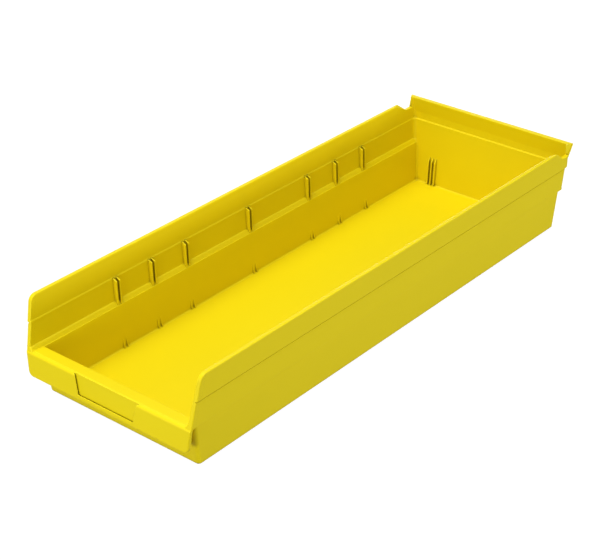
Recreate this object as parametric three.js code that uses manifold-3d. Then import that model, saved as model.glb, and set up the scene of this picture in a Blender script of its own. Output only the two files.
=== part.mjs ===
// Stackable storage bin: one polypropylene moulding, modelled as its named sections.
// Millimetres. +X right, -Y front (the open, labelled end), +Y rear, +Z up.
// Origin: centre of the bounding box, on the surface that the bin stands on.
// The sections meet on flat planes, so that they fit exactly and never overlap.

import * as THREE from 'three';
import { mergeVertices } from 'three/addons/utils/BufferGeometryUtils.js';
import Module from 'manifold-3d';

// Overall size
const LENGTH = 600;
const WIDTH = 212.7;
const HEIGHT = 101.6;

// Wall and draft
const WALL = 2.4;
const FLOOR = 2.5;
const DRAFT = 0.062; // outward lean per millimetre of height
const BASE_HALF = 92; // half width of the underside

// Heights where one section ends and the next begins
const LEDGE_FOOT = 46.5;
const LEDGE_TOP = 52;
const RIM_FOOT = 76;
const FLANGE_FOOT = 90;
const RIM_TOP = 99.5;

// Side steps
const LEDGE_STEP = 4.5; // the divider band stands out from the lower wall
const RIM_STEP = 0.9; // the rim band stands out from the divider band
const LEDGE_INNER = 92.5; // inner edge of the side ledge
const LEDGE_INNER_TOP = 49.5;
const LEDGE_OUTER_FOOT = 49;

// Rear wall
const REAR_Y = LENGTH / 2;
const REAR_BASE = 292.5; // outer face at the underside
const REAR_CUT = 284; // plane where the side sections meet the rear ones
const REAR_RIM_STEP = 2; // the upper wall stands back from the middle one
const UPPER_LEAN = 0.01;
const REAR_TOP_LIP = 3.6; // depth of the hang flange's top edge
const LOWER_CORNER = 2.5; // outer vertical corner radii, rear
const MIDDLE_CORNER = 7;
const UPPER_CORNER = 10;

// Front: inner wall, ledge and label panel
const FRONT_Y = -LENGTH / 2;
const FRONT_BASE = -279.5; // outer face of the inner wall at the underside
const FRONT_LEAN = 0.14;
const FRONT_CUT = -272; // plane where the front wall meets the side walls
const FRONT_CORNER = 3.5;
const FRONT_LEDGE_TOP = 49;
const FRONT_EDGE_RADIUS = 2.4;
const PANEL_FOOT = 23.6;
const PANEL_LEAN = 0.07; // the panel's foot stands forward of its head
const PANEL_HALF_FOOT = 97;
const PANEL_HALF_HEAD = 99;
const PANEL_CORNER = 5;
const CHEEK_FOOT_Y = -297.3; // front edge of the side walls, at the ledge
const CHEEK_LEAN = 0.22;
const CHEEK_CORNER = 8;
const WEB_OUTER = 91.5;
const WEB_THICKNESS = 2;
const WEB_GAP = 0.3; // between the web's slanted ends and the walls beside it

// Label pocket in the panel
const LABEL_HALF_HEAD = 38.5;
const LABEL_HALF_FOOT = 34;
const LABEL_FOOT = 28.5;
const LABEL_DEPTH = 1.5;
const LABEL_GROOVE = 1.5; // how far the card groove runs in behind the lips
const LABEL_GROOVE_DEPTH = 0.8;
const LABEL_LIP = 0.6; // lip thickness in front of the groove, whose back stays 0.1 off the pocket's

// Divider slots along the side walls
const SLOT_PITCH = 47.5;
const SLOT_CENTRE = 4.5;
const SLOT_STEPS = [-4, -3, -2, 0, 2, 3, 4];
const FIN = 1.6;
const SLOT_GAP = 2.8;
const FIN_HEAD = 74;
const FIN_SETBACK = 1; // the fins' edges stand this far back from the ledge's edge
const FIN_TAPER = 0.5;
const FOOT_RIB_HEIGHT = 13;
const FOOT_RIB_DEPTH = 1.8;

// Divider slots on the rear wall
const REAR_RIB_X = [66.2, 70.4, 74.6];
const REAR_RIB = 1.5;
const REAR_RIB_DEPTH = 3;
const REAR_RIB_HEAD = 36;
const REAR_RIB_TOP = 40;

// Rear end of the side rim: down to the hand dip and up to the flange
const RIM_END_Y = 268;
const DIP_Y = 281.5;
const RIM_END_DROP = 1; // the rim rounds over this far before it slopes down
const FLANGE_RISE = 6; // the flange leans back to its full depth over this height

const YELLOW = 0xf9df13;
const wasm = await Module();
wasm.setup();

const bin = new THREE.Group();

// Adds a section to the bin under its name, in the moulding's one yellow.
function section(name, geometry) {
  const material = new THREE.MeshStandardMaterial({ color: YELLOW, roughness: 0.42, metalness: 0 });
  const mesh = new THREE.Mesh(geometry, material);
  mesh.name = name;
  bin.add(mesh);
}

// Six times the volume that the triangles enclose: negative when they face inwards.
function signedVolume(position, index) {
  const [a, b, c] = [new THREE.Vector3(), new THREE.Vector3(), new THREE.Vector3()];
  let sum = 0;
  for (let i = 0; i < index.count; i += 3) {
    a.fromBufferAttribute(position, index.getX(i));
    b.fromBufferAttribute(position, index.getX(i + 1));
    c.fromBufferAttribute(position, index.getX(i + 2));
    sum += a.dot(b.cross(c));
  }
  return sum;
}

// Extrudes a flat outline by one unit and carries each point (a, b, t) to its place,
// with t running from 0 to 1 through the thickness.
function carried(outline, place) {
  const shape = new THREE.Shape(outline.map(([a, b]) => new THREE.Vector2(a, b)));
  const extruded = new THREE.ExtrudeGeometry(shape, { depth: 1, bevelEnabled: false });
  extruded.deleteAttribute('normal');
  extruded.deleteAttribute('uv');
  const geometry = mergeVertices(extruded, 1e-5);
  const position = geometry.attributes.position;
  for (let i = 0; i < position.count; i += 1) {
    const moved = place(position.getX(i), position.getY(i), position.getZ(i));
    position.setXYZ(i, ...moved);
  }
  if (signedVolume(position, geometry.index) < 0) {
    for (let i = 0; i < geometry.index.count; i += 3) {
      const first = geometry.index.getX(i);
      geometry.index.setX(i, geometry.index.getX(i + 1));
      geometry.index.setX(i + 1, first);
    }
  }
  return geometry;
}

// The same solid for cutting and joining.
function solid(geometry) {
  const vertProperties = new Float32Array(geometry.attributes.position.array);
  const triVerts = new Uint32Array(geometry.index.array);
  return new wasm.Manifold(new wasm.Mesh({ numProp: 3, vertProperties, triVerts }));
}

// A cut or joined solid as a geometry again.
function surface(manifold) {
  const mesh = manifold.getMesh();
  const geometry = new THREE.BufferGeometry();
  geometry.setAttribute('position', new THREE.BufferAttribute(mesh.vertProperties, 3));
  geometry.setIndex(new THREE.BufferAttribute(mesh.triVerts, 1));
  return geometry;
}

// Points of a quarter turn about (a, b), from one angle to another, both in quarter turns.
function arc(a, b, radius, from, to, steps = 4) {
  return Array.from({ length: steps + 1 }, (_, i) => {
    const angle = (from + ((to - from) * i) / steps) * (Math.PI / 2);
    return [a + radius * Math.cos(angle), b + radius * Math.sin(angle)];
  });
}

// Outer half width of each side tier at a height.
const lowerOuter = (z) => BASE_HALF + DRAFT * z;
const bandOuter = (z) => lowerOuter(z) + LEDGE_STEP;
const rimOuter = (z) => bandOuter(z) + RIM_STEP;

// Outer faces of the front inner wall, the label panel and the rear wall at a height.
const frontOuter = (z) => FRONT_BASE - FRONT_LEAN * z;
const panelOuter = (z) => FRONT_Y + PANEL_LEAN * (z - PANEL_FOOT);
const rearOuter = (z) => REAR_BASE + DRAFT * z;
const upperOuter = (z) => rearOuter(RIM_FOOT) + REAR_RIM_STEP + UPPER_LEAN * (z - RIM_FOOT);
const cheekFront = (z) => CHEEK_FOOT_Y + CHEEK_LEAN * (z - FRONT_LEDGE_TOP);

// A side wall section: its outline across the wall, run from the front to the rear cut.
function sideRun(side, outline, front) {
  return carried(outline, (x, z, t) => [side * x, front(z) * (1 - t) + REAR_CUT * t, z]);
}

// The flat outline of a leaning wall between two heights.
function leaning(outer, low, high) {
  return [
    [outer(low) - WALL, low],
    [outer(low), low],
    [outer(high), high],
    [outer(high) - WALL, high],
  ];
}

// A wall across the bin with its two corners, between two heights: an open channel in
// plan, whose legs run back to a flat cut and whose faces lean out as they rise.
function channel({ half, face, cut, low, high, radius }) {
  const forward = Math.sign(face(low) - cut);
  const [x, y] = [half(low), face(low)];
  const bend = arc(x - radius, y - forward * radius, radius, 0, forward);
  const innerRadius = Math.max(radius - WALL, 0.5);
  const [innerX, innerY] = [x - WALL - innerRadius, y - forward * (WALL + innerRadius)];
  const inner = [...arc(innerX, innerY, innerRadius, forward, 0), [x - WALL, cut]];
  const right = [[x, cut], ...bend];
  const left = right.map(([a, b]) => [-a, b]).reverse();
  const outline = [...right, ...left, ...inner.map(([a, b]) => [-a, b]).reverse(), ...inner];
  const spread = half(high) - half(low);
  const advance = face(high) - face(low);
  return carried(outline, (a, b, t) => [
    a + Math.sign(a) * spread * t,
    b === Math.fround(cut) ? b : b + advance * t,
    low + (high - low) * t,
  ]);
}

// Floor: a flat plate with the underside's rounded corners.
function floorPanel() {
  const plate = (x, front, rear) => [
    ...arc(x - LOWER_CORNER, rear - LOWER_CORNER, LOWER_CORNER, 0, 1),
    ...arc(LOWER_CORNER - x, rear - LOWER_CORNER, LOWER_CORNER, 1, 2),
    ...arc(FRONT_CORNER - x, front + FRONT_CORNER, FRONT_CORNER, 2, 3),
    ...arc(x - FRONT_CORNER, front + FRONT_CORNER, FRONT_CORNER, 3, 4),
  ];
  const spread = lowerOuter(FLOOR) - lowerOuter(0);
  const outline = plate(BASE_HALF, FRONT_BASE, REAR_BASE);
  return carried(outline, (x, y, t) => [
    x + Math.sign(x) * spread * t,
    y + (y > 0 ? rearOuter(FLOOR) - REAR_BASE : frontOuter(FLOOR) - FRONT_BASE) * t,
    FLOOR * t,
  ]);
}

// Lower side wall, with the pairs of short ribs that hold a divider's foot.
function lowerWall(side) {
  const front = () => FRONT_CUT;
  let body = solid(sideRun(side, leaning(lowerOuter, FLOOR, LEDGE_FOOT), front));
  const ribTop = FLOOR + FOOT_RIB_HEIGHT;
  const buried = WALL / 2;
  const outline = [
    [lowerOuter(FLOOR) - WALL - FOOT_RIB_DEPTH, FLOOR],
    [lowerOuter(FLOOR) - buried, FLOOR],
    [lowerOuter(ribTop) - buried, ribTop],
    [lowerOuter(ribTop) - WALL, ribTop],
  ];
  for (const y of finCentres()) {
    const rib = carried(outline, (x, z, t) => [side * x, y + FIN * (t - 0.5), z]);
    body = body.add(solid(rib));
  }
  return surface(body);
}

// Middle of each fin, two to a slot.
function finCentres() {
  const apart = (FIN + SLOT_GAP) / 2;
  return SLOT_STEPS.flatMap((step) => {
    const y = SLOT_CENTRE + SLOT_PITCH * step;
    return [y - apart, y + apart];
  });
}

// Side ledge: the shelf where the wall steps out over the lower wall.
function sideLedge(side) {
  const outline = [
    [LEDGE_INNER, LEDGE_FOOT],
    [lowerOuter(LEDGE_FOOT), LEDGE_FOOT],
    [bandOuter(LEDGE_OUTER_FOOT), LEDGE_OUTER_FOOT],
    [bandOuter(LEDGE_TOP), LEDGE_TOP],
    [bandOuter(LEDGE_TOP) - WALL, LEDGE_TOP],
    [LEDGE_INNER, LEDGE_INNER_TOP],
  ];
  return sideRun(side, outline, cheekFront);
}

// Divider band: the wall above the ledge, which the divider fins stand on.
function dividerBand(side) {
  return sideRun(side, leaning(bandOuter, LEDGE_TOP, RIM_FOOT), cheekFront);
}

// Divider fin: a thin plate from the band's inner face to near the ledge's inner edge.
function dividerFin(side, y) {
  const root = bandOuter(LEDGE_TOP) - WALL;
  const tip = LEDGE_INNER + FIN_SETBACK;
  const fall = ((LEDGE_TOP - LEDGE_INNER_TOP) * (root - tip)) / (root - LEDGE_INNER);
  const outline = [
    [tip, LEDGE_TOP - fall],
    [root, LEDGE_TOP],
    [bandOuter(RIM_FOOT) - WALL, RIM_FOOT],
    [tip + FIN_TAPER, FIN_HEAD],
  ];
  return carried(outline, (x, z, t) => [side * x, y + FIN * (t - 0.5), z]);
}

// Rim band: a leaning plate with a rounded front corner and a slope down to the hand dip.
function rimBand(side) {
  const head = cheekFront(RIM_TOP);
  const outline = [
    [REAR_CUT, RIM_FOOT],
    [REAR_CUT, FLANGE_FOOT],
    [DIP_Y, FLANGE_FOOT],
    [RIM_END_Y + 3 * RIM_END_DROP, RIM_TOP - RIM_END_DROP],
    [RIM_END_Y, RIM_TOP],
    ...arc(head + CHEEK_CORNER, RIM_TOP - CHEEK_CORNER, CHEEK_CORNER, 1, 1.86),
    [cheekFront(RIM_FOOT), RIM_FOOT],
  ];
  return carried(outline, (y, z, t) => [side * (rimOuter(z) - WALL * t), y, z]);
}

// Rear lower wall with two sets of three ribs, which hold the end of a long divider.
function rearLowerWall() {
  const wall = channel({
    half: lowerOuter, face: rearOuter, cut: REAR_CUT,
    low: FLOOR, high: LEDGE_FOOT, radius: LOWER_CORNER,
  });
  let body = solid(wall);
  const buried = WALL / 2;
  const outline = [
    [rearOuter(FLOOR) - WALL - REAR_RIB_DEPTH, FLOOR],
    [rearOuter(FLOOR) - buried, FLOOR],
    [rearOuter(REAR_RIB_TOP) - buried, REAR_RIB_TOP],
    [rearOuter(REAR_RIB_TOP) - WALL, REAR_RIB_TOP],
    [rearOuter(REAR_RIB_HEAD) - WALL - REAR_RIB_DEPTH, REAR_RIB_HEAD],
  ];
  for (const side of [-1, 1]) {
    for (const x of REAR_RIB_X) {
      const rib = carried(outline, (y, z, t) => [side * (x + REAR_RIB * (t - 0.5)), y, z]);
      body = body.add(solid(rib));
    }
  }
  return surface(body);
}

// Rear middle wall: the corners step out with the side walls, the face runs straight on.
function rearMiddleWall() {
  return channel({
    half: bandOuter, face: rearOuter, cut: REAR_CUT,
    low: LEDGE_TOP, high: RIM_FOOT, radius: MIDDLE_CORNER,
  });
}

// Rear ledge ring: closes the step between the lower and the middle corners.
function rearLedge() {
  const [x, y] = [bandOuter(LEDGE_TOP), rearOuter(LEDGE_TOP)];
  const outer = [[x, REAR_CUT], ...arc(x - MIDDLE_CORNER, y - MIDDLE_CORNER, MIDDLE_CORNER, 0, 1)];
  const inner = [[LEDGE_INNER, y - WALL], [LEDGE_INNER, REAR_CUT]];
  const mirrored = (points) => points.map(([a, b]) => [-a, b]).reverse();
  const outline = [...outer, ...mirrored(outer), ...mirrored(inner), ...inner];
  const shrink = lowerOuter(LEDGE_FOOT) - x;
  const retreat = rearOuter(LEDGE_FOOT) - y;
  return carried(outline, (a, b, t) => [
    Math.abs(a) <= LEDGE_INNER ? a : a + Math.sign(a) * shrink * (1 - t),
    b === Math.fround(REAR_CUT) ? b : b + retreat * (1 - t),
    LEDGE_FOOT + (LEDGE_TOP - LEDGE_FOOT) * t,
  ]);
}

// Rear upper wall: steps back to make room for the hang flange above it.
function rearUpperWall() {
  return channel({
    half: rimOuter, face: upperOuter, cut: REAR_CUT,
    low: RIM_FOOT, high: FLANGE_FOOT, radius: UPPER_CORNER,
  });
}

// Hang flange: the raised lip along the rear edge, between its two gussets.
function hangFlange() {
  const outline = [
    [upperOuter(FLANGE_FOOT) - WALL, FLANGE_FOOT],
    [upperOuter(FLANGE_FOOT), FLANGE_FOOT],
    [REAR_Y, FLANGE_FOOT + FLANGE_RISE],
    [REAR_Y, HEIGHT],
    [REAR_Y - REAR_TOP_LIP, HEIGHT],
    [REAR_Y - REAR_TOP_LIP, FLANGE_FOOT + FLANGE_RISE],
  ];
  const half = rimOuter(FLANGE_FOOT) - WALL;
  return carried(outline, (y, z, t) => [half * (2 * t - 1), y, z]);
}

// Flange gusset: the end plate that sweeps up from the hand dip to the flange.
function flangeGusset(side) {
  const rise = HEIGHT - FLANGE_FOOT;
  const run = REAR_Y - REAR_TOP_LIP - REAR_CUT;
  const sweep = arc(0, 1, 1, 3, 4, 6).map(([a, b]) => [REAR_CUT + run * a, FLANGE_FOOT + rise * b]);
  const outline = [
    ...sweep,
    [REAR_Y, HEIGHT],
    [REAR_Y, FLANGE_FOOT + FLANGE_RISE],
    [upperOuter(FLANGE_FOOT), FLANGE_FOOT],
  ];
  const inner = rimOuter(FLANGE_FOOT) - WALL;
  const flare = WIDTH / 2 - rimOuter(FLANGE_FOOT);
  const outer = (z) => rimOuter(FLANGE_FOOT) + (flare * (z - FLANGE_FOOT)) / rise;
  return carried(outline, (y, z, t) => [side * (t < 0.5 ? inner : outer(z)), y, z]);
}

// Front inner wall, leaning forward under the ledge.
function frontInnerWall() {
  return channel({
    half: lowerOuter, face: frontOuter, cut: FRONT_CUT,
    low: FLOOR, high: LEDGE_FOOT, radius: FRONT_CORNER,
  });
}

// Cutter for the label pocket: a tapered recess, with a groove behind its lips.
function labelPocket() {
  const high = FRONT_LEDGE_TOP + 1;
  const slope = (LABEL_HALF_HEAD - LABEL_HALF_FOOT) / (FRONT_LEDGE_TOP - LABEL_FOOT);
  const wedge = (grow, near, far) => {
    const foot = LABEL_FOOT - grow;
    const half = (z) => LABEL_HALF_FOOT + grow + slope * (z - LABEL_FOOT);
    const outline = [[-half(foot), foot], [half(foot), foot], [half(high), high], [-half(high), high]];
    return solid(carried(outline, (x, z, t) => [x, panelOuter(z) + near + (far - near) * t, z]));
  };
  const groove = wedge(LABEL_GROOVE, LABEL_LIP, LABEL_LIP + LABEL_GROOVE_DEPTH);
  return wedge(0, -1, LABEL_DEPTH).add(groove);
}

// Front ledge with its rounded front edge, cut by the open top of the label pocket.
function frontLedge(pocket) {
  const front = panelOuter(LEDGE_FOOT);
  const radius = FRONT_EDGE_RADIUS;
  const outline = [
    [frontOuter(LEDGE_FOOT) + WALL, LEDGE_FOOT],
    [frontOuter(LEDGE_FOOT) + WALL, FRONT_LEDGE_TOP],
    ...arc(front + radius, FRONT_LEDGE_TOP - radius, radius, 1, 2),
    [front, LEDGE_FOOT],
  ];
  const ledge = carried(outline, (y, z, t) => [LEDGE_INNER * (2 * t - 1), y, z]);
  return surface(solid(ledge).subtract(pocket));
}

// Label panel: hangs from the ledge's front edge, with rounded lower corners.
function labelPanel(pocket) {
  const slope = (PANEL_HALF_HEAD - PANEL_HALF_FOOT) / (LEDGE_FOOT - PANEL_FOOT);
  const edge = (z) => PANEL_HALF_FOOT + slope * (z - PANEL_FOOT);
  const centre = PANEL_FOOT + PANEL_CORNER;
  const right = [...arc(edge(centre) - PANEL_CORNER, centre, PANEL_CORNER, -1, 0), [edge(LEDGE_FOOT), LEDGE_FOOT]];
  const outline = [...right, ...right.map(([x, z]) => [-x, z]).reverse()];
  const panel = carried(outline, (x, z, t) => [x, panelOuter(z) + WALL * t, z]);
  return surface(solid(panel).subtract(pocket));
}

// End web: closes the side of the hollow between the panel and the inner wall.
function endWeb(side) {
  const outline = [
    [panelOuter(PANEL_FOOT) + WALL + WEB_GAP, PANEL_FOOT],
    [frontOuter(PANEL_FOOT) - WEB_GAP, PANEL_FOOT],
    [frontOuter(LEDGE_FOOT) - WEB_GAP, LEDGE_FOOT],
    [panelOuter(LEDGE_FOOT) + WALL + WEB_GAP, LEDGE_FOOT],
  ];
  return carried(outline, (y, z, t) => [side * (WEB_OUTER - WEB_THICKNESS * t), y, z]);
}

const pocket = labelPocket();
section('floor_panel', floorPanel());
section('front_inner_wall', frontInnerWall());
section('front_ledge', frontLedge(pocket));
section('label_panel', labelPanel(pocket));
section('rear_lower_wall', rearLowerWall());
section('rear_ledge', rearLedge());
section('rear_middle_wall', rearMiddleWall());
section('rear_upper_wall', rearUpperWall());
section('hang_flange', hangFlange());
for (const [name, side] of [['left', -1], ['right', 1]]) {
  section(`${name}_lower_wall`, lowerWall(side));
  section(`${name}_side_ledge`, sideLedge(side));
  section(`${name}_divider_band`, dividerBand(side));
  finCentres().forEach((y, i) => {
    const place = i % 2 === 0 ? 'front' : 'rear';
    section(`${name}_slot_${Math.floor(i / 2) + 1}_${place}_fin`, dividerFin(side, y));
  });
  section(`${name}_rim_band`, rimBand(side));
  section(`${name}_flange_gusset`, flangeGusset(side));
  section(`${name}_front_web`, endWeb(side));
}

export default bin;
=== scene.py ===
import math

import bmesh
import bpy
import numpy as np
from mathutils import Matrix, Vector


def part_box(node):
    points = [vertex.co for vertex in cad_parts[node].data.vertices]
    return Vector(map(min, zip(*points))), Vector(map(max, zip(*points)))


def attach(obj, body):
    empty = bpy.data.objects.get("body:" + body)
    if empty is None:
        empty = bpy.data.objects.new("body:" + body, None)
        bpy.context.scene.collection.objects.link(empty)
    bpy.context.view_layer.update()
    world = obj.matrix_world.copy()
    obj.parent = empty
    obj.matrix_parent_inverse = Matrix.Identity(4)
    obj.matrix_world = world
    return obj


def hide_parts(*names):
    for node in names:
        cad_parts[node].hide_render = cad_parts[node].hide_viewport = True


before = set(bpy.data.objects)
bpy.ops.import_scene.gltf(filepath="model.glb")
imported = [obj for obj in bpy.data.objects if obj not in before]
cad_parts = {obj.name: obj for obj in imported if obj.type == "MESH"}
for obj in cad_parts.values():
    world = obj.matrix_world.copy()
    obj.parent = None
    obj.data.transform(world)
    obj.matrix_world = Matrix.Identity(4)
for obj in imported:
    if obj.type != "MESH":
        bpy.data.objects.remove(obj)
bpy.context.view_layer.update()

# A stackable storage bin: one polypropylene moulding, made here as a few closed skins that
# meet inside the material. Sizes are in millimetres; MM turns them to metres in the mesh.
# +X right, -Y front, +Y rear, +Z up, as in the CAD model.
MM = 0.001


def span(node):
    """Lowest and highest corner of a CAD node, in millimetres."""
    low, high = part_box(node)
    return np.array(low) / MM, np.array(high) / MM


# Driving sizes, from the frame
floor_high = span("floor_panel")[1]
wall_high = span("right_lower_wall")[1]
ledge_low, ledge_high = span("right_side_ledge")
rim_low, rim_high = span("right_rim_band")
flange_high = span("hang_flange")[1]
panel_low = span("label_panel")[0]
front_ledge_high = span("front_ledge")[1]

FLOOR = floor_high[2]
LEDGE_FOOT = ledge_low[2]
LEDGE_TOP = ledge_high[2]
RIM_FOOT = rim_low[2]
RIM_TOP = rim_high[2]
FLANGE_TOP = flange_high[2]
REAR_Y = flange_high[1]
TIP_X = span("right_flange_gusset")[1][0]
LEDGE_INNER = ledge_low[0]
PANEL_FOOT = panel_low[2]
FRONT_LEDGE_TOP = front_ledge_high[2]
DRAFT = (wall_high[0] - floor_high[0]) / (LEDGE_FOOT - FLOOR)
BASE_HALF = floor_high[0] - DRAFT * FLOOR
REAR_BASE = floor_high[1] - DRAFT * FLOOR

# Wall, steps and small radii
WALL = 2.4
SKIRT = 1.2  # how much thicker the lower side and front walls are, on the outside
RIM_SWELL = 1.9  # how much thicker the upper side walls are, on the outside
LEDGE_STEP = 4.5
RIM_STEP = 0.9
REAR_STEP = 2.0
FOOT_RADIUS = 1.2
HEAD_THICKNESS = 0.7  # of the lower walls' head inside the upper walls, as a share
FLOOR_FILLET = 1.6
EDGE = 1.0  # rounding of the rim's two edges
UNDER_TOP = 49.0  # top of the sloping underside of the side ledge
DIP = 89.4  # height of the hand dip between the rim and the flange
FLARE_FOOT = 84.5
FLARE_START = 276.0  # where the side wall starts to flare out to the ear
FLARE_FULL = 291.0
FRONT_LEAN = 0.14  # of the front inner wall, towards the front with height
FRONT_BASE = -279.5  # its outer face at the underside
CHEEK_FOOT = -297.3  # front edge of the side wall, at the front ledge
CHEEK_LEAN = 0.22
CHEEK_RADIUS = 8.0
RIM_END = 267.0  # where the rim starts down to the hand dip
DIP_START = 281.5
EAR_FILLET = 2.6
LOWER_REAR_RADIUS = 2.6  # upright corners of the lower walls, outside
LOWER_FRONT_RADIUS = 3.5
INNER_REAR_RADIUS = 1.8  # and inside
INNER_FRONT_RADIUS = 2.0
MERGE = 0.03  # points closer than this are one point
SHARP = 32  # degrees between faces above which their edge stays sharp


def srgb(code):
    """A colour written as an sRGB hex code, as the linear colour that the shader takes."""
    parts = np.array([int(code[i:i + 2], 16) for i in (1, 3, 5)]) / 255
    linear = np.where(parts <= 0.04045, parts / 12.92, ((parts + 0.055) / 1.055) ** 2.4)
    return (*linear, 1.0)


# ---- Material ----

YELLOW_DEEP = "#e3ce05"
YELLOW_LIGHT = "#ead508"
# deep olive brown, painted as shade where a surface is closed in
PAINTED_SHADE = "#7d6500"
# pale yellow, painted on the edges as a highlight
YELLOW_EDGE_HIGHLIGHT = "#fff02a"
FLOW = 0.12  # metres across a patch of tone
HIGHLIGHT_PATCH = 0.004  # metres across a patch of the painted edge highlight
GRAIN = 0.0008  # metres
ORANGE_PEEL = 0.006  # metres, the slow ripple of a moulded face
EDGE_HIGHLIGHT_REACH = 0.6  # mm over which an edge gets the painted highlight
PAINTED_SHADE_REACH = 6.0  # mm within which a nearby surface adds painted shade


def add(tree, kind, settings=None, values=None, links=None):
    """A node of a kind, with its settings, its input values and the outputs that feed it."""
    node = tree.nodes.new(kind)
    for key, value in (settings or {}).items():
        setattr(node, key, value)
    for key, value in (values or {}).items():
        node.inputs[key].default_value = value
    for key, output in (links or {}).items():
        tree.links.new(output, node.inputs[key])
    return node


def moulded_polypropylene():
    """Polypropylene, injection moulded against finely spark-eroded steel: a deep, even colour
    with a satin sheen, a fine grain, slow changes of tone where the melt flowed, smoother edges
    with a painted paler highlight, and painted shade where a surface is closed in."""
    material = bpy.data.materials.new("moulded_polypropylene_yellow")
    material.use_nodes = True
    tree = material.node_tree
    shader = tree.nodes["Principled BSDF"]
    shader.inputs["IOR"].default_value = 1.49
    shader.inputs["Specular IOR Level"].default_value = 0.2
    place = add(tree, "ShaderNodeTexCoord").outputs["Object"]

    # Flow: tone changes slowly, over about 120 mm across the bin and 300 mm along it.
    stretch = add(tree, "ShaderNodeMapping", values={"Scale": (1, 0.4, 1)}, links={"Vector": place})
    flow = add(
        tree, "ShaderNodeTexNoise", {"noise_dimensions": "3D"},
        {"Scale": 1 / FLOW, "Detail": 2.0, "Roughness": 0.5}, {"Vector": stretch.outputs["Vector"]},
    ).outputs["Fac"]
    tone = add(
        tree, "ShaderNodeMix", {"data_type": "RGBA"},
        {"A": srgb(YELLOW_DEEP), "B": srgb(YELLOW_LIGHT)}, {"Factor": flow},
    ).outputs["Result"]

    # Painted highlight: edges are painted paler where the rounded normal leaves the face's own, broken
    # up into fine patches.
    soft = add(tree, "ShaderNodeBevel", {"samples": 4}, {"Radius": EDGE_HIGHLIGHT_REACH * MM}).outputs["Normal"]
    flat = add(tree, "ShaderNodeNewGeometry").outputs["Normal"]
    turned = add(tree, "ShaderNodeVectorMath", {"operation": "DOT_PRODUCT"}, links={0: soft, 1: flat})
    edge = add(
        tree, "ShaderNodeMapRange", values={"From Min": 0.985, "From Max": 0.86},
        links={"Value": turned.outputs["Value"]},
    ).outputs["Result"]
    highlight_breakup = add(
        tree, "ShaderNodeTexNoise", {"noise_dimensions": "3D"},
        {"Scale": 1 / HIGHLIGHT_PATCH, "Detail": 4.0, "Roughness": 0.65}, {"Vector": place},
    ).outputs["Fac"]
    patches = add(
        tree, "ShaderNodeMapRange", values={"From Min": 0.25, "From Max": 0.5},
        links={"Value": highlight_breakup},
    ).outputs["Result"]
    painted_edge_highlight = add(
        tree, "ShaderNodeMath", {"operation": "MULTIPLY"}, links={0: edge, 1: patches},
    ).outputs[0]
    colour = add(
        tree, "ShaderNodeMix", {"data_type": "RGBA"}, {"B": srgb(YELLOW_EDGE_HIGHLIGHT)},
        {"Factor": painted_edge_highlight, "A": tone},
    ).outputs["Result"]

    # Painted shade: the colour is darkened towards deep olive brown where a surface is closed in
    # within a few millimetres, in inside corners, slots and grooves and under the walls' narrow steps,
    # where shade falls.
    open_sky = add(
        tree, "ShaderNodeAmbientOcclusion", {"samples": 8}, {"Distance": PAINTED_SHADE_REACH * MM},
    ).outputs["AO"]
    painted_shade_amount = add(
        tree, "ShaderNodeMapRange", values={"From Min": 0.76, "From Max": 0.12, "To Max": 0.92},
        links={"Value": open_sky},
    ).outputs["Result"]
    shaded_colour = add(
        tree, "ShaderNodeMix", {"data_type": "RGBA"}, {"B": srgb(PAINTED_SHADE)},
        {"Factor": painted_shade_amount, "A": colour},
    ).outputs["Result"]
    tree.links.new(shaded_colour, shader.inputs["Base Color"])

    # Sheen: satin, a little smoother where the tone is light and on the edges with the painted
    # highlight.
    satin = add(
        tree, "ShaderNodeMapRange", values={"To Min": 0.53, "To Max": 0.45}, links={"Value": flow},
    ).outputs["Result"]
    smooth = add(
        tree, "ShaderNodeMath", {"operation": "MULTIPLY_ADD"}, {1: -0.04}, {0: painted_edge_highlight, 2: satin},
    ).outputs[0]
    tree.links.new(smooth, shader.inputs["Roughness"])

    # Grain: the real one is about 0.1 mm across, drawn coarser so that it shows.
    fine = add(
        tree, "ShaderNodeTexNoise", {"noise_dimensions": "3D"},
        {"Scale": 1 / GRAIN, "Detail": 2.0, "Roughness": 0.6}, {"Vector": place},
    ).outputs["Fac"]
    broad = add(
        tree, "ShaderNodeTexNoise", {"noise_dimensions": "3D"},
        {"Scale": 1 / ORANGE_PEEL, "Detail": 1.0, "Roughness": 0.5}, {"Vector": place},
    ).outputs["Fac"]
    peel = add(
        tree, "ShaderNodeBump", values={"Strength": 0.25, "Distance": 0.25 * MM},
        links={"Height": broad},
    ).outputs["Normal"]
    grain = add(
        tree, "ShaderNodeBump", values={"Strength": 0.3, "Distance": 0.12 * MM},
        links={"Height": fine, "Normal": peel},
    ).outputs["Normal"]
    tree.links.new(grain, shader.inputs["Normal"])
    return material


moulded_yellow = moulded_polypropylene()


# ---- Mesh helpers ----

def rounded(points, radii, steps=4):
    """A polyline whose corners are turned into arcs: each arc touches both of its lines, and
    its points are centre + radius * (cos a, sin a) for angles between the two touch points."""
    points = [np.array(p, float) for p in points]
    out = [points[0]]
    for before, corner, after, radius in zip(points, points[1:], points[2:], radii):
        back = (before - corner) / np.linalg.norm(before - corner)
        ahead = (after - corner) / np.linalg.norm(after - corner)
        half = math.acos(np.clip(back @ ahead, -1, 1)) / 2
        middle = (back + ahead) / np.linalg.norm(back + ahead)
        centre = corner + middle * radius / math.sin(half)
        start = corner + back * radius / math.tan(half) - centre
        end = corner + ahead * radius / math.tan(half) - centre
        turn = math.atan2(start[0] * end[1] - start[1] * end[0], start @ end)
        for angle in np.linspace(0, turn, steps + 1):
            across, up = math.cos(angle), math.sin(angle)
            out.append(centre + np.array([[across, -up], [up, across]]) @ start)
    out.append(points[-1])
    return np.array(out)


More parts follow.
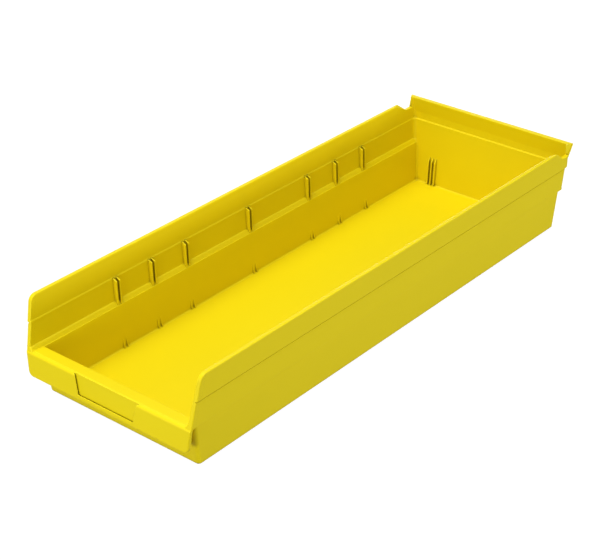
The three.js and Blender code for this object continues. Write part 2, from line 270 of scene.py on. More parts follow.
def quads(numbers, close_rows=False, close_columns=False):
    """Four-cornered faces between neighbours of a grid of vertex numbers."""
    if close_rows:
        numbers = np.vstack([numbers, numbers[:1]])
    if close_columns:
        numbers = np.hstack([numbers, numbers[:, :1]])
    a, b = numbers[:-1, :-1], numbers[1:, :-1]
    c, d = numbers[1:, 1:], numbers[:-1, 1:]
    return np.stack([a, b, c, d], axis=-1).reshape(-1, 4)


def closed_piece(name, points, faces, replaced=()):
    """One closed piece from its points in millimetres and its faces. Doubled points are merged,
    collapsed faces drop out, and the faces are turned to point outwards."""
    mesh = bpy.data.meshes.new(name)
    mesh.from_pydata((points * MM).tolist(), [], faces.tolist())
    body = bmesh.new()
    body.from_mesh(mesh)
    bmesh.ops.remove_doubles(body, verts=body.verts, dist=MERGE * MM)
    bmesh.ops.recalc_face_normals(body, faces=body.faces)
    body.to_mesh(mesh)
    body.free()
    mesh.shade_smooth()
    mesh.set_sharp_from_angle(angle=math.radians(SHARP))
    mesh.materials.append(moulded_yellow)
    piece = bpy.data.objects.new(name, mesh)
    bpy.context.scene.collection.objects.link(piece)
    weighted = piece.modifiers.new("even shading", "WEIGHTED_NORMAL")
    weighted.keep_sharp = True
    weighted.weight = 80
    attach(piece, "root")
    if replaced:
        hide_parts(*replaced)
    return piece


def double_skin(name, outer, inner, replaced, ring=False, joined=(0, -1)):
    """A wall between two skins, each a grid of stations by rows: the skins, joined by strips
    along the named rows and, on an open run, across the first and last station."""
    stations, rows = outer.shape[:2]
    first = np.arange(stations * rows).reshape(stations, rows)
    second = first + stations * rows
    faces = [quads(first, close_rows=ring), quads(second, close_rows=ring)]
    for row in joined:
        faces.append(quads(np.stack([first[:, row], second[:, row]], axis=1), close_rows=ring))
    if not ring:
        for station in (0, stations - 1):
            faces.append(quads(np.stack([first[station], second[station]], axis=1)))
    points = np.concatenate([outer.reshape(-1, 3), inner.reshape(-1, 3)])
    return closed_piece(name, points, np.concatenate(faces), replaced)


def lower_outer(z):
    return BASE_HALF + DRAFT * z


def rear_outer(z):
    return REAR_BASE + DRAFT * z


def front_outer(z):
    return FRONT_BASE - FRONT_LEAN * z


def cheek_front(z):
    return CHEEK_FOOT + CHEEK_LEAN * (z - FRONT_LEDGE_TOP)


# ---- Lower walls and floor: one ring round the four sides ----

def ring_stations(corner_steps=8, side_steps=40, cross_steps=16):
    """Stations round a rounded rectangle: t runs from the front to the rear, s is the side
    that the corner's centre lies on, and (nx, ny) is the way out of the corner."""
    quarter = np.linspace(0, np.pi / 2, corner_steps + 1)
    side = np.linspace(0, 1, side_steps + 1)[1:-1]
    cross = np.linspace(1, -1, cross_steps + 1)[1:-1]
    flat, one = np.zeros_like, np.ones_like
    runs = [
        (side, one(side), one(side), flat(side)),
        (one(quarter), one(quarter), np.cos(quarter), np.sin(quarter)),
        (one(cross), cross, flat(cross), one(cross)),
        (one(quarter), -one(quarter), -np.sin(quarter), np.cos(quarter)),
        (side[::-1], -one(side), -one(side), flat(side)),
        (flat(quarter), -one(quarter), -np.cos(quarter), -np.sin(quarter)),
        (flat(cross), -cross, flat(cross), -one(cross)),
        (flat(quarter), one(quarter), np.sin(quarter), -np.cos(quarter)),
    ]
    return [np.concatenate(column)[:, None] for column in zip(*runs)]


def ring_skin(half, rear, front, rear_radius, front_radius, z):
    """Each height's rounded rectangle: x = s * (half - r) + r * nx and
    y = (front + r) * (1 - t) + (rear - r) * t + r * ny, with r blended from front to rear."""
    t, s, nx, ny = ring_stations()
    radius = front_radius * (1 - t) + rear_radius * t
    x = s * (half - radius) + radius * nx
    y = (front + front_radius) * (1 - t) + (rear - rear_radius) * t + radius * ny
    return np.stack([x, y, np.broadcast_to(z, x.shape)], axis=-1)


def foot_inset(z, radius):
    """How far a quarter-round foot of this radius stands back at a height above it."""
    rise = np.clip(z, 0, radius)
    return radius - np.sqrt(np.clip(radius**2 - (radius - rise) ** 2, 0, None))


def lower_skins():
    """Outer and inner skin of the lower walls. The outer one has a quarter-round foot and the
    inner one a quarter-round fillet down to the floor; both lean out with the draft."""
    quarter_heights = 1 - np.cos(np.linspace(0, np.pi / 2, 6))
    rises = np.linspace(0, 1, 14)[1:]
    foot_z = FOOT_RADIUS + (LEDGE_FOOT - FOOT_RADIUS) * rises
    outer_z = np.concatenate([FOOT_RADIUS * quarter_heights, foot_z])
    back = foot_inset(outer_z, FOOT_RADIUS)
    outer = ring_skin(
        lower_outer(outer_z) + SKIRT - back, rear_outer(outer_z) - back,
        front_outer(outer_z) - SKIRT + back,
        LOWER_REAR_RADIUS - back, LOWER_FRONT_RADIUS - back, outer_z,
    )
    above = FLOOR + FLOOR_FILLET
    fillet_z = FLOOR + FLOOR_FILLET * quarter_heights
    inner_z = np.concatenate([fillet_z, above + (LEDGE_FOOT - above) * rises])
    back = WALL + foot_inset(inner_z - FLOOR, FLOOR_FILLET)
    inner = ring_skin(
        lower_outer(inner_z) - back, rear_outer(inner_z) - back, front_outer(inner_z) + back,
        INNER_REAR_RADIUS, INNER_FRONT_RADIUS, inner_z,
    )
    return outer, inner


def build_lower_wall():
    """The ring, with its head drawn in to end inside the upper walls' foot."""
    outer, inner = lower_skins()
    middle = (outer[:, -1:] + inner[:, -1:]) / 2
    middle[..., 2] += TUCK

    def with_head(skin):
        head = HEAD_THICKNESS * (skin[:, -1:] - middle) * [1, 1, 0] + middle
        return np.concatenate([skin, head], axis=1)

    replaced = ["left_lower_wall", "right_lower_wall", "rear_lower_wall", "front_inner_wall"]
    double_skin("lower_wall", with_head(outer), with_head(inner), replaced, ring=True)


def build_floor():
    """The floor plate: its top ends where the walls' fillet starts and its underside where
    their foot does. Each face is its outline drawn in onto the bin's middle line."""
    outer, inner = lower_skins()
    shrink = np.array([1, 0.985, 0.95, 0.88, 0.75, 0.55, 0.3, 0])[None, :, None]

    def plate(outline):
        middle = np.array([0.0, 0.0, 1.0]) * outline
        middle[:, 1] = np.clip(outline[:, 1], FRONT_BASE + BASE_HALF, REAR_BASE - BASE_HALF)
        return middle[:, None] + (outline - middle)[:, None] * shrink

    top, under = plate(inner[:, 0]), plate(outer[:, 0])
    double_skin("floor_plate", top, under, ["floor_panel"], ring=True, joined=(0,))


# ---- Upper walls: ledge, divider band, rim and hang flange in one run ----

def band_outer(z):
    return lower_outer(z) + LEDGE_STEP


def rim_outer(z):
    return band_outer(z) + RIM_STEP


REAR_UPPER = rear_outer(RIM_FOOT) + REAR_STEP
FLANGE_DEPTH = 6.0
TUCK = 2.0  # how far the upper walls' foot runs down inside the lower walls
TUCK_INSET = 0.6  # and how far it stands in there
TUCK_INSET_OUTER = 0.8
LEDGE_EDGE = 49.6  # height of the side ledge's rounded inner edge
LEDGE_NOSE = (LEDGE_INNER + 3.3, LEDGE_EDGE + 2.0)  # where the lower wall turns into the ledge
LEDGE_RISE = 0.5  # of the ledge at the band's foot
SPLIT = 87.5  # rows above this height follow the rim's outline

# The outer face's thin groove below the rim: where it starts, its depth, and its two heights.
# The band's and the rim's widths are taken at BAND_HEAD and RIM_START.
LINE_START, LINE_DEPTH, LINE_LOW, LINE_HIGH = 73.0, 1.3, 74.2, 74.9
BAND_HEAD, RIM_START = 74.6, 75.2
SIDE_RADII = [0.3, 0.7, 0.1, 0.1, 0.25, 6]

# The step between band and rim on the inner face, as (height that gives the width, height).
STEP_LOW, STEP_HIGH = (75.8, 75.4), (76.3, 76.9)

# The rear wall's step outside and inside, and the height where the flange is at full depth.
REAR_STEP_FOOT, REAR_STEP_HEAD = 74.4, 75.4
REAR_INNER_FOOT, REAR_INNER_HEAD = 75.8, 76.5
FLANGE_FULL = 95

side_profile = [
    (lower_outer(LEDGE_FOOT) + SKIRT - TUCK_INSET_OUTER, LEDGE_FOOT - TUCK),
    (lower_outer(LEDGE_FOOT) + SKIRT, LEDGE_FOOT),
    (band_outer(UNDER_TOP) + RIM_SWELL, UNDER_TOP - 0.6),
    (band_outer(LINE_START) + RIM_SWELL, LINE_START),
    (band_outer(BAND_HEAD) + RIM_SWELL - LINE_DEPTH, LINE_LOW),
    (rim_outer(RIM_START) + RIM_SWELL, LINE_HIGH),
    (rim_outer(FLARE_FOOT) + RIM_SWELL, FLARE_FOOT),
]
rim_head = (rim_outer(FLANGE_TOP) + RIM_SWELL, FLANGE_TOP)
outer_half = rounded(side_profile + [rim_head], SIDE_RADII)
ear_half = rounded(side_profile + [(TIP_X, FLANGE_TOP)], SIDE_RADII)
inner_half = rounded(
    [
        (lower_outer(LEDGE_FOOT) - WALL + TUCK_INSET, LEDGE_FOOT - TUCK),
        (lower_outer(LEDGE_FOOT) - WALL, LEDGE_FOOT),
        LEDGE_NOSE,
        (band_outer(LEDGE_TOP) - WALL, LEDGE_TOP + LEDGE_RISE),
        (band_outer(STEP_LOW[0]) - WALL, STEP_LOW[1]),
        (rim_outer(STEP_HIGH[0]) - WALL, STEP_HIGH[1]),
        (rim_outer(FLANGE_TOP) - WALL, FLANGE_TOP),
    ],
    [0.5, 1.6, 0.6, 0.5, 0.8],
)
outer_rear = rounded(
    [
        (rear_outer(LEDGE_FOOT) - TUCK_INSET, LEDGE_FOOT - TUCK),
        (rear_outer(LEDGE_FOOT), LEDGE_FOOT),
        (rear_outer(REAR_STEP_FOOT), REAR_STEP_FOOT),
        (REAR_UPPER, REAR_STEP_HEAD),
        (REAR_UPPER + 0.1, FLARE_FOOT),
        (REAR_Y, FLANGE_FULL),
        (REAR_Y, FLANGE_TOP),
    ],
    [0.3, 0.6, 0.6, 8, 8],
)
inner_rear = rounded(
    [
        (rear_outer(LEDGE_FOOT) - WALL + TUCK_INSET, LEDGE_FOOT - TUCK),
        (rear_outer(LEDGE_FOOT) - WALL, LEDGE_FOOT),
        (rear_outer(REAR_INNER_FOOT) - WALL, REAR_INNER_FOOT),
        (REAR_UPPER - WALL, REAR_INNER_HEAD),
        (REAR_UPPER - WALL, FLARE_FOOT),
        (REAR_Y - FLANGE_DEPTH, FLANGE_TOP),
    ],
    [0.3, 0.4, 0.6, 8],
)

STATION = 9.0  # spacing of the stations along the rim
ROW = 4  # spacing of the rows up the wall
CLOSE_ROWS = 0.04  # rows nearer than this are one row

# Radius of the upright rear corners at each height
outer_radius = np.array([
    (LOWER_REAR_RADIUS, LEDGE_FOOT), (7, 49.5), (7.5, 74.6), (7, 75.5), (8.5, 85), (1.1, FLANGE_TOP),
])
inner_radius = np.array([
    (INNER_REAR_RADIUS, LEDGE_FOOT), (4, 52), (4, 76), (3, 77), (3, 85), (1, 90), (1, FLANGE_TOP),
])


def along(profile, z):
    """The first coordinate of a profile at each height."""
    return np.interp(z, profile[:, 1], profile[:, 0])


def rim_outline():
    """The side wall's upper edge from front to rear as (y, z): round the cheek's corner, along
    the rim, down to the hand dip and up the flange's ear."""
    lean = math.hypot(1, CHEEK_LEAN)
    z = RIM_TOP - CHEEK_RADIUS
    y = cheek_front(z) + CHEEK_RADIUS * lean
    turn = np.linspace(math.pi - math.atan(CHEEK_LEAN), math.pi / 2, 13)
    corner = np.stack([y + CHEEK_RADIUS * np.cos(turn), z + CHEEK_RADIUS * np.sin(turn)], axis=1)
    ear = along(outer_rear, DIP) - along(outer_radius, DIP)
    tip = along(outer_rear, FLANGE_TOP) - along(outer_radius, FLANGE_TOP)
    rest = rounded(
        [(y, RIM_TOP), (RIM_END, RIM_TOP), (DIP_START, DIP), (ear, DIP), (tip, FLANGE_TOP)],
        [4, 4, EAR_FILLET], steps=6,
    )
    line = np.concatenate([corner, rest[1:]])
    run = np.concatenate([[0], np.cumsum(np.hypot(*np.diff(line, axis=0).T))])
    extra = np.arange(0, run[-1], STATION)
    places = np.unique(np.concatenate([run, extra]).round(3))
    return np.stack([np.interp(places, run, line[:, 0]), np.interp(places, run, line[:, 1])], axis=1)


def upper_stations(nose_steps=4, corner_steps=10, cross_steps=12):
    """Half of the run, from the right cheek's front edge to the middle of the rear wall. Each
    station holds the outline's point and its way out in the side view, the nose's turn, and
    the corner's side, way out and share."""
    line = rim_outline()
    step = np.gradient(line, axis=0)
    normal = np.stack([-step[:, 1], step[:, 0]], axis=1) / np.hypot(*step.T)[:, None]
    side = [(*point, *out, 0, 1, 1, 0, 0) for point, out in zip(line, normal)]
    turns = np.linspace(math.pi / 2, 0, nose_steps + 1)[:-1]
    nose = [(*line[0], *normal[0], turn, 1, 1, 0, 0) for turn in turns]
    top = (line[-1, 0], FLANGE_TOP, 0, 1, 0)
    quarter = np.linspace(0, math.pi / 2, corner_steps + 1)
    corner = [(*top, 1, math.cos(angle), math.sin(angle), 1) for angle in quarter]
    cross = [(*top, share, 0, 1, 1) for share in np.linspace(1, 0, cross_steps + 1)[1:]]
    return np.array(nose + side + corner + cross)


def upper_skin(half, half_at_ear, rear, radius, way):
    """One skin of the upper walls, whose half width changes over to the ear's where the hand
    dip starts. At height z a station lies at
    x = s * (half - r) + r * nx and y = front * (1 - t) + (rear - r) * t + r * ny, and near the
    edge it turns in by EDGE * (1 - cos a) and on along the outline's way out by EDGE * sin a."""
    columns = upper_stations()[:, :, None]
    edge_y, edge_z, out_y, out_z, nose, s, nx, ny, rear_part = columns.transpose(1, 0, 2)
    knots = np.concatenate([p[:, 1] for p in (outer_half, inner_half, outer_rear, inner_rear)])
    even = np.arange(LEDGE_FOOT - TUCK, SPLIT, ROW)
    fixed = np.unique(np.concatenate([knots[knots < SPLIT], even, [SPLIT]]).round(2))
    fixed = fixed[np.concatenate([[True], np.diff(fixed) > CLOSE_ROWS])]
    shares = np.linspace(0, 1, 8)[1:]
    turns = np.linspace(0, math.pi / 2, 6)[1:]
    height = np.concatenate([fixed, np.zeros(len(shares) + len(turns))])[None]
    share = np.concatenate([np.zeros(len(fixed)), shares, np.ones(len(turns))])[None]
    turn = np.concatenate([np.zeros(len(fixed) + len(shares)), turns])[None]
    turn = np.maximum(turn, nose)
    head = edge_z - out_z * EDGE * (1 - np.sin(turn))
    z = np.where(share > 0, SPLIT + share * (head - SPLIT), height)
    base_y, base_z = edge_y - out_y * EDGE, edge_z - out_z * EDGE
    outer_end = along(outer_rear, base_z) - along(outer_radius, base_z)
    front = cheek_front(base_z) + EDGE
    t = np.where(rear_part > 0, 1, np.clip((base_y - front) / (outer_end - front), 0, 1))
    inset = way * EDGE * (1 - np.cos(turn))
    r = np.maximum(along(radius, z) - inset, 0.1)
    ear = np.clip((edge_y - FLARE_START) / (FLARE_FULL - FLARE_START), 0, 1)
    width = along(half, z) * (1 - ear) + along(half_at_ear, z) * ear
    x = s * (width - inset - r) + r * nx
    y = (cheek_front(z) + EDGE) * (1 - t) + (along(rear, z) - inset * rear_part - r) * t + r * ny
    y += out_y * EDGE * np.sin(turn)
    right = np.stack([x, y, z], axis=-1)
    left = right[-2::-1] * np.array([-1, 1, 1])
    return np.concatenate([right, left])


def build_upper_wall():
    replaced = ["rear_ledge", "rear_middle_wall", "rear_upper_wall", "hang_flange"]
    for side in ("left", "right"):
        for part in ("side_ledge", "divider_band", "rim_band", "flange_gusset"):
            replaced.append(f"{side}_{part}")
    outer = upper_skin(outer_half, ear_half, outer_rear, outer_radius, 1)
    inner = upper_skin(inner_half, inner_half, inner_rear, inner_radius, -1)
    double_skin("upper_wall", outer, inner, replaced)


# ---- Front: label panel, ledge and end webs ----

PANEL_LEAN = 0.07
PANEL_HALF_FOOT = 98.2
PANEL_HALF_HEAD = 101.3
PANEL_CORNER = 5.0
PANEL_EDGE = 1.1  # rounding of the panel's outer edge
LEDGE_ROUND = 3.2  # rounding from the panel into the ledge
POCKET_HALF_FOOT = 34.0
POCKET_HALF_HEAD = 38.5
POCKET_FOOT = 28.5
POCKET_DEPTH = 1.9
GROOVE = 1.5  # how far the card groove runs in behind the lips
LIP = 0.6
LIP_EDGE = 0.15  # chamfer of the lips' edge
LIP_END, LIP_FADE = 47.5, 0.6  # the lips end at this height, over this rise
GROOVE_BACK = 1.8
GROOVE_MARGIN = 0.3  # of flat face kept beside the groove
FACE_RING, FACE_RING_FOOT, FACE_RING_RADIUS = 12, 26, 2.5  # extra loop on the flat face
BEHIND_LIPS = range(8, 13)  # lip and groove loops, laid on the loop before them at the back
POCKET_NARROWING = 0.22
POCKET_CLOSE = 16  # how far the pocket floor's loops rise as they close in
LEDGE_STATIONS = 41
LEDGE_NOSE_RADIUS = 0.9
LEDGE_THICKNESS = 2.6
LEDGE_RUN_IN = 3.0  # how far the front ledge's ends run into the side ledges
WEB_OUTER = 89.5
WEB = 2.0
WEB_ROUND = 1.0
WEB_START = 1.8  # behind the panel's face, inside the panel
WEB_IN_WALL = 0.8  # how far the web's other end runs into the inner wall


def panel_outer(z):
    return panel_low[1] + PANEL_LEAN * (z - PANEL_FOOT)


def panel_front(z, depth):
    """The panel's front at a depth behind its flat face. The rounding up to the ledge is a
    quarter circle, and where that lies further back it wins."""
    rise = np.clip(z - (FRONT_LEDGE_TOP - LEDGE_ROUND), 0, LEDGE_ROUND)
    rounding = LEDGE_ROUND - np.sqrt(LEDGE_ROUND**2 - rise**2)
    return panel_outer(z) + np.maximum(rounding, depth)


def u_loop(half_foot, half_head, foot, radius, shrink=1.0):
    """A U from the left head down, across the foot and up to the right head, as (x, z): two
    leaning sides, joined to the foot by arcs. Every loop has the same points on each part."""
    head = FRONT_LEDGE_TOP - LEDGE_ROUND
    lean = (half_head - half_foot) / (FRONT_LEDGE_TOP - foot)
    radius = max(radius, 0.02)
    turn = np.linspace(0, math.pi / 2, 8)
    top = head + LEDGE_ROUND * np.sin(np.linspace(math.pi / 2, 0, 9))
    side = np.linspace(head, foot + radius, 8)[1:-1]
    z = np.concatenate([top, side, foot + radius * (1 - np.sin(turn))])
    x = half_foot + lean * (z - foot)
    x[-8:] -= radius * (1 - np.cos(turn))
    across = np.linspace(x[-1], -x[-1], 42)[1:-1]
    x = np.concatenate([-x, -across, x[::-1]]) * shrink
    return x, np.concatenate([z, np.full(40, foot), z[::-1]])


def panel_loops():
    """The front skin's loops with their depths, from the panel's edge in: its rounding, the
    flat face, the lip, back out behind the lip to the groove, and the pocket's floor."""
    loops = []
    for turn in np.linspace(0, math.pi / 2, 5):
        inset = PANEL_EDGE * (1 - math.cos(turn))
        sides = (PANEL_HALF_FOOT - inset, PANEL_HALF_HEAD - inset, PANEL_FOOT + inset)
        loops.append((*u_loop(*sides, PANEL_CORNER - inset), PANEL_EDGE * (1 - math.sin(turn))))

    def pocket(grow, cut_back=0):
        x, z = u_loop(POCKET_HALF_FOOT + grow, POCKET_HALF_HEAD + grow, POCKET_FOOT - grow, 0.5 + grow)
        return x + np.sign(x) * cut_back * np.clip((z - LIP_END) / LIP_FADE, 0, 1), z

    ring = (POCKET_HALF_FOOT + FACE_RING, POCKET_HALF_HEAD + FACE_RING, FACE_RING_FOOT)
    loops.append((*u_loop(*ring, FACE_RING_RADIUS), 0.0))
    loops.append((*pocket(GROOVE + GROOVE_MARGIN), 0.0))
    loops.append((*pocket(GROOVE), 0.0))
    loops.append((*pocket(LIP_EDGE, GROOVE - LIP_EDGE), 0.0))
    loops.append((*pocket(0, GROOVE), LIP_EDGE))
    loops.append((*pocket(0, GROOVE), LIP))
    loops.append((*pocket(GROOVE), LIP))
    loops.append((*pocket(GROOVE), GROOVE_BACK))
    loops.append((*pocket(0), GROOVE_BACK))
    for share in (0.98, 0.9, 0.7, 0.45, 0.2, 0):
        foot = POCKET_FOOT + (1 - share) * POCKET_CLOSE
        sides = (POCKET_HALF_FOOT + POCKET_NARROWING * (foot - POCKET_FOOT), POCKET_HALF_HEAD)
        loops.append((*u_loop(*sides, foot, 0.5, shrink=share), POCKET_DEPTH))
    return loops


def build_label_panel():
    """Front and back skin of the panel as loops. The back one is flat, LEDGE_ROUND behind the
    face, and its loops behind the lips lie on one line, so that it doesn't fold."""
    loops = [np.stack([x, panel_front(z, depth), z], axis=-1) for x, z, depth in panel_loops()]
    front = np.stack(loops, axis=1)
    back = front.copy()
    for number in BEHIND_LIPS:
        back[:, number] = back[:, BEHIND_LIPS[0] - 1]
    back[:, :, 1] = panel_outer(back[:, :, 2]) + LEDGE_ROUND
    double_skin("front_label_panel", front, back, ["label_panel"], joined=(0,))


def build_front_ledge():
    """The ledge: a profile in the side view, carried from side to side, with a rounded inner
    edge. Its ends run into the side ledges."""
    head = FRONT_LEDGE_TOP
    front = panel_outer(head) + LEDGE_ROUND
    inner = front_outer(LEDGE_FOOT) + WALL
    corners = [(front, head), (inner, head), (inner, LEDGE_FOOT - 1)]
    profile = rounded(corners, [LEDGE_NOSE_RADIUS], steps=5)
    under_y = np.maximum(profile[:, 0] - LEDGE_THICKNESS, front)
    under = np.stack([under_y, np.full(len(profile), LEDGE_FOOT - 0.4)], axis=1)
    across = np.linspace(-1, 1, LEDGE_STATIONS)[:, None] * (LEDGE_INNER + LEDGE_RUN_IN)

    def skin(line):
        return np.stack(np.broadcast_arrays(across, line[:, 0], line[:, 1]), axis=-1)

    double_skin("front_shelf_ledge", skin(profile), skin(under), ["front_ledge"])


def build_web(side_name, side):
    """The end web between the panel and the inner wall: a flat plate with a rounded foot."""
    turn = np.linspace(0, math.pi / 2, 5)
    straight = np.linspace(PANEL_FOOT + WEB_ROUND, LEDGE_FOOT + 1, 8)[1:]
    z = np.concatenate([PANEL_FOOT + WEB_ROUND * (1 - np.cos(turn)), straight])
    inset = np.concatenate([WEB_ROUND * (1 - np.sin(turn)), np.zeros(len(straight))])
    share = np.linspace(0, 1, 9)[:, None]
    in_panel, in_wall = panel_outer(z) + WEB_START, front_outer(z) + WEB_IN_WALL
    y = in_panel * (1 - share) + in_wall * share

    def skin(x):
        return np.stack(np.broadcast_arrays(side * x, y, z), axis=-1)

    double_skin(f"{side_name}_end_web", skin(WEB_OUTER - inset), skin(WEB_OUTER - WEB + inset),
                [f"{side_name}_front_web"])


# ---- Divider fins and ribs ----

def rib_loops(depth, thickness, heights, edge=0.35):
    """Plan sections of an upright rib, one for each height: (out, across) pairs from the wall,
    round the free edge and back, with the edge's corners turned as quarter circles."""
    quarter = np.linspace(0, math.pi / 2, 4)
    half = thickness / 2
    round_out = np.concatenate([[-WALL / 2, 0], edge * (np.sin(quarter) - 1)])
    round_across = np.concatenate([[half, half], half - edge * (1 - np.cos(quarter))])
    out = np.where(np.arange(len(round_out)) < 2, 0, 1) * depth[:, None] + round_out
    out = np.maximum(out, -WALL / 2)
    across = np.broadcast_to(round_across, out.shape)
    loop_out = np.concatenate([out, out[:, ::-1]], axis=1)
    loop_across = np.concatenate([across, -across[:, ::-1]], axis=1)
    return loop_out, loop_across, np.broadcast_to(heights[:, None], loop_out.shape)


def loft(name, stacks, replaced=()):
    """Closed solids from stacks of loops: each loop is joined to the next, and the first and
    last are closed by joining each point to its mirror image in the loop."""
    points, faces, first = [], [], 0
    for stack in stacks:
        rows, count = stack.shape[:2]
        numbers = first + np.arange(rows * count).reshape(rows, count)
        faces.append(quads(numbers, close_columns=True))
        for loop in (numbers[0], numbers[-1]):
            faces.append(quads(np.stack([loop[: count // 2], loop[::-1][: count // 2]], axis=1)))
        points.append(stack.reshape(-1, 3))
        first += rows * count
    return closed_piece(name, np.concatenate(points), np.concatenate(faces), replaced)


FIN_TIP = 93.5  # how near the fins' edges come to the bin's middle plane
FIN_TAPER = 0.5  # how much further from it they are at their head
FIN_FOOT = LEDGE_EDGE - 1.5
FIN_HEAD = 74.0
FIN_RADIUS = 0.8
FIN_SLOPE = 0.35  # radians that the rounded head stops short of level


def fin_stack(side, y, thickness):
    """A divider fin: from under the ledge's surface to a top that slopes up to the wall."""
    heights = np.array([FIN_FOOT, 55, 62, 69, FIN_HEAD - FIN_RADIUS])
    turn = np.linspace(0, math.pi / 2 - FIN_SLOPE, 5)[1:]
    tip = np.interp(heights, [LEDGE_TOP, FIN_HEAD], [FIN_TIP, FIN_TIP + FIN_TAPER])
    head, in_wall = FIN_HEAD - FIN_RADIUS * (1 - np.sin(turn)), rim_outer(RIM_FOOT) - WALL + 0.3
    heights = np.concatenate([heights, head, [RIM_FOOT + 0.4]])
    tip = np.concatenate([tip, tip[-1] + FIN_RADIUS * (1 - np.cos(turn)), [in_wall]])
    wall = band_outer(heights) - WALL
    out, across, z = rib_loops(wall - tip, thickness, heights)
    return np.stack([side * (wall[:, None] - out), y + across, z], axis=-1)


def build_fins():
    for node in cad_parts:
        if node.endswith("_fin"):
            low, high = span(node)
            side = math.copysign(1, low[0])
            stack = fin_stack(side, (low[1] + high[1]) / 2, high[1] - low[1])
            loft(node.replace("_fin", "_divider_fin"), [stack], [node])


FOOT_RIB_HEIGHT = 13.0
FOOT_RIB_DEPTH = 1.8
RIB_BURIED = 0.6  # how far the ribs run down into the floor
REAR_RIB_X = (64.2, 68.6, 73.0)
REAR_RIB = 1.5
REAR_RIB_DEPTH = 3.0
REAR_RIB_HEAD = 31.5
REAR_RIB_TOP = 35.5


def build_foot_ribs(side_name, side):
    """Short ribs at the foot of the side wall, in line with the fins, that fade out upwards."""
    stacks = []
    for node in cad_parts:
        if node.startswith(side_name) and node.endswith("_fin"):
            low, high = span(node)
            heights = FLOOR - RIB_BURIED + np.linspace(0, FOOT_RIB_HEIGHT + 1, 8)
            depth = np.interp(heights, [FLOOR, FLOOR + FOOT_RIB_HEIGHT], [FOOT_RIB_DEPTH, -0.05])
            depth[-1] = -0.3
            wall = lower_outer(heights) - WALL
            out, across, z = rib_loops(depth, high[1] - low[1], heights)
            y = (low[1] + high[1]) / 2
            stacks.append(np.stack([side * (wall[:, None] - out), y + across, z], axis=-1))
    loft(f"{side_name}_foot_ribs", stacks)


def build_rear_ribs():
    """Three upright ribs on each side of the rear wall, with sloping tops."""
    straight = np.linspace(FLOOR - RIB_BURIED, REAR_RIB_HEAD - 0.6, 7)
    heights = np.concatenate([straight, [REAR_RIB_HEAD, REAR_RIB_TOP]])
    depth = np.array([REAR_RIB_DEPTH] * 7 + [REAR_RIB_DEPTH - 0.5, -0.4])
    wall = rear_outer(heights) - WALL
    out, across, z = rib_loops(depth, REAR_RIB, heights)
    stacks = [
        np.stack([side * x + across, wall[:, None] - out, z], axis=-1)
        for side in (-1, 1) for x in REAR_RIB_X
    ]
    loft("rear_ribs", stacks)


build_lower_wall()
build_floor()
build_upper_wall()
build_fins()
build_rear_ribs()
build_label_panel()
build_front_ledge()
for side_name, side in (("left", -1), ("right", 1)):
    build_foot_ribs(side_name, side)
    build_web(side_name, side)


# ---- Floor, light and camera ----

FLOOR_BOUNCE = 0.27  # light that the white paper throws up on the bin
FLOOR_REACH = 12  # metres
FLOOR_DROP = 0.0004  # metres below the bin, so that the two faces don't fight


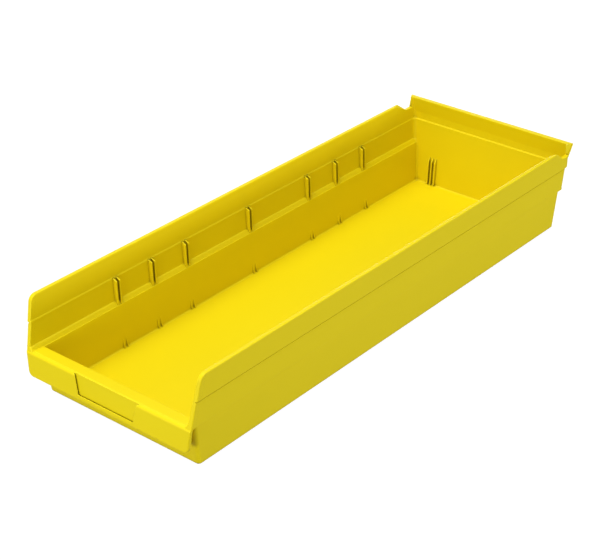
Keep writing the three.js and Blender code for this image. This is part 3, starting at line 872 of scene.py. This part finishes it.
def build_stage():
    """A wide sheet of white paper, just below the bin's underside. The camera sees it white,
    and the bin gets only FLOOR_BOUNCE of that light from it."""
    mesh = bpy.data.meshes.new("studio_floor")
    corners = [(-1, -1), (1, -1), (1, 1), (-1, 1)]
    points = [(FLOOR_REACH * x, FLOOR_REACH * y, -FLOOR_DROP) for x, y in corners]
    mesh.from_pydata(points, [], [(0, 1, 2, 3)])
    floor = bpy.data.objects.new("studio_floor", mesh)
    bpy.context.scene.collection.objects.link(floor)
    material = bpy.data.materials.new("pale_paper")
    material.use_nodes = True
    tree = material.node_tree
    shader = tree.nodes["Principled BSDF"]
    shader.inputs["Base Color"].default_value = (0.02, 0.02, 0.02, 1)
    shader.inputs["Emission Color"].default_value = (1, 1, 1, 1)
    seen = add(tree, "ShaderNodeLightPath").outputs["Is Camera Ray"]
    strength = add(tree, "ShaderNodeMapRange", values={"To Min": FLOOR_BOUNCE}, links={"Value": seen})
    tree.links.new(strength.outputs["Result"], shader.inputs["Emission Strength"])
    mesh.materials.append(material)


def softbox(name, place, aim, width, height, power):
    """A rectangular area light, seen only by what it lights."""
    light = bpy.data.lights.new(name, "AREA")
    light.shape = "RECTANGLE"
    light.size = width
    light.size_y = height
    light.energy = power
    lamp = bpy.data.objects.new(name, light)
    lamp.location = place
    lamp.rotation_mode = "QUATERNION"
    lamp.rotation_quaternion = (Vector(aim) - Vector(place)).to_track_quat("-Z", "Y")
    lamp.visible_camera = False
    bpy.context.scene.collection.objects.link(lamp)


def build_light():
    world = bpy.data.worlds.new("studio")
    bpy.context.scene.world = world
    world.use_nodes = True
    background = world.node_tree.nodes["Background"]
    background.inputs["Color"].default_value = (1, 1, 1, 1)
    background.inputs["Strength"].default_value = 0.32
    softbox("overhead", (-0.15, -0.4, 2.4), (0, 0, 0.05), 1.5, 1.5, 54)
    softbox("right_side", (1.7, 0.3, 0.16), (0.1, 0.05, 0.04), 1.2, 0.24, 13)
    softbox("rear_left", (-1.3, 1.5, 0.3), (0, 0.1, 0.04), 1.2, 0.4, 9)
    softbox("front", (0.0, -1.0, 0.16), (0, -0.3, 0.03), 0.6, 0.2, 3)


def build_camera():
    azimuth, elevation, roll = (math.radians(a) for a in (39.52, 29.44, 0.13))
    distance, aim = 1571.24 * MM, Vector((10.53, -43.53, 50)) * MM
    back = Vector((
        math.sin(azimuth) * math.cos(elevation),
        -math.cos(azimuth) * math.cos(elevation),
        math.sin(elevation),
    ))
    data = bpy.data.cameras.new("camera")
    data.lens = 96.92
    data.sensor_width = 36
    camera = bpy.data.objects.new("camera", data)
    camera.rotation_mode = "QUATERNION"
    turn = (-back).to_track_quat("-Z", "Y")
    camera.rotation_quaternion = turn @ Matrix.Rotation(-roll, 4, "Z").to_quaternion()
    camera.location = aim + back * distance
    bpy.context.scene.collection.objects.link(camera)
    bpy.context.scene.camera = camera


build_stage()
build_light()
build_camera()
bpy.context.scene.view_settings.view_transform = "Standard"
